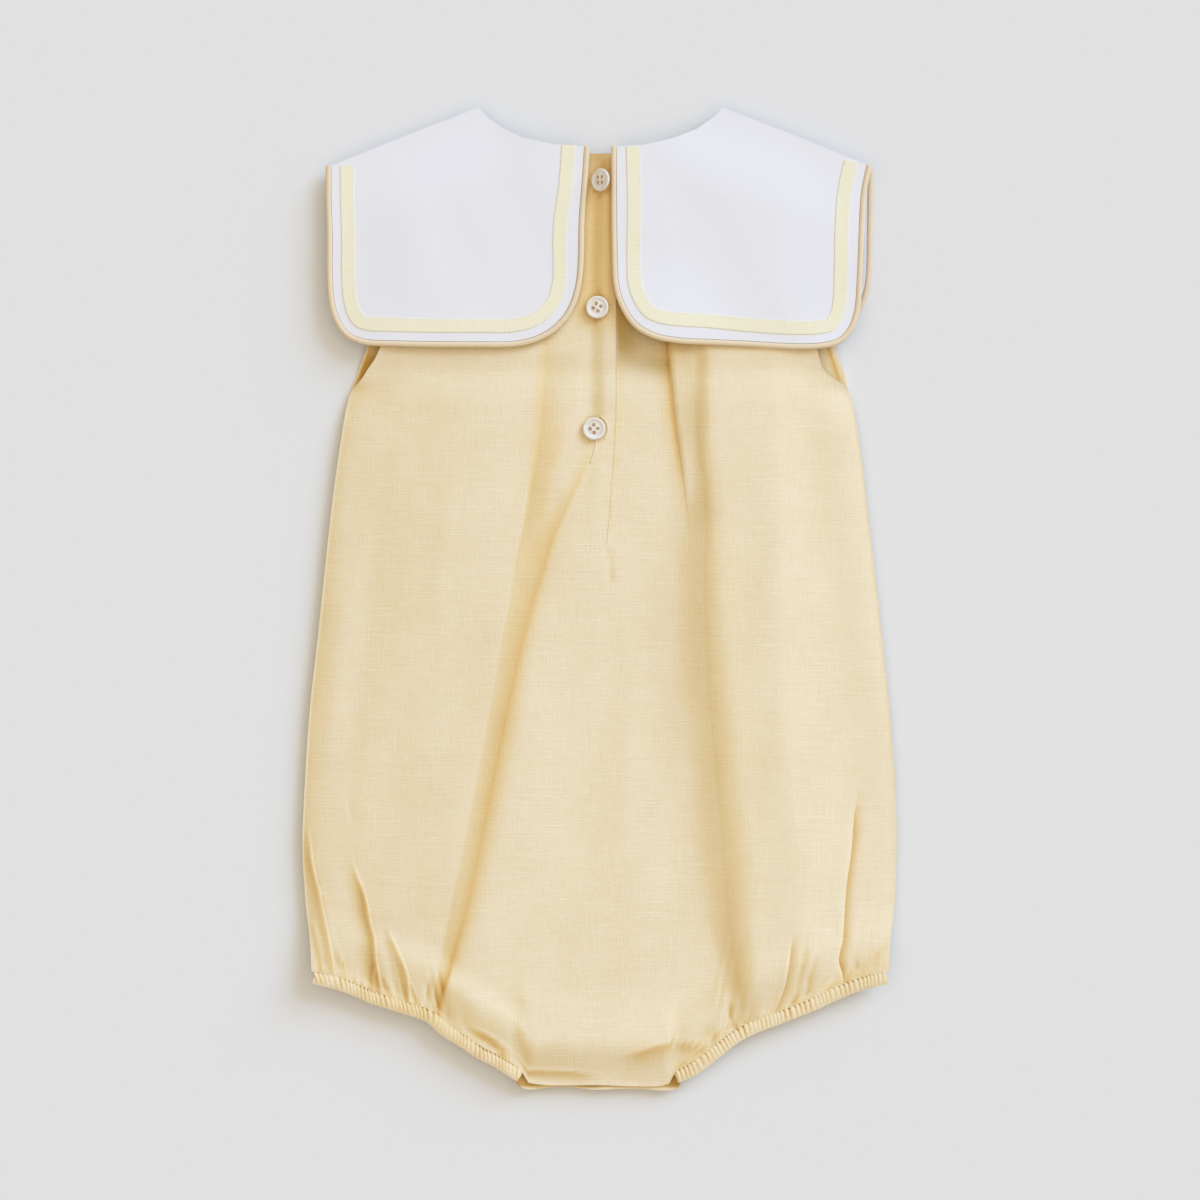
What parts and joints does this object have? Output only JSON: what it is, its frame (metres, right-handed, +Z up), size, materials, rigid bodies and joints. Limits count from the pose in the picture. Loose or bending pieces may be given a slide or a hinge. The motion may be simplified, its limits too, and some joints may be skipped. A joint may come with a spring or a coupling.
{
  "type": "baby romper",
  "caption": "Sleeveless bubble romper for a baby, laid flat with its back up: split sailor collar with piped and ribboned edges, buttoned placket, neck pleats, gathered leg hems.",
  "frame": {"origin": "middle of the garment's outline, on the surface that it lies on", "axes": "+X to the wearer's right as it lies face down, +Y towards the neck, +Z up through the back of the garment"},
  "size_m": [0.2858, 0.471, 0.014],
  "materials": {
    "linen": "pale yellow slub linen blend, plain weave, matte",
    "collar_cotton": "white cotton poplin, smooth and matte",
    "ribbon": "pale yellow grosgrain ribbon, fine cross ribs, slight sheen",
    "piping": "light tan bias-cut cotton piping, matte",
    "button": "off-white four-hole button, satin"
  },
  "bodies": {
    "root": {"front_collar": "collar_cotton", "piping_front": "piping", "front_panel": "linen", "crotch_band_front": "linen", "back_panel": "linen", "placket_underlap": "linen", "leg_casing_left_back": "linen", "leg_casing_left_front": "linen", "leg_casing_right_back": "linen", "leg_casing_right_front": "linen", "collar_wing_left": "collar_cotton", "ribbon_left": "ribbon", "piping_left": "piping", "collar_wing_right": "collar_cotton", "ribbon_right": "ribbon", "piping_right": "piping", "button_1": "button", "button_2": "button", "button_3": "button"}
  },
  "joints": []
}
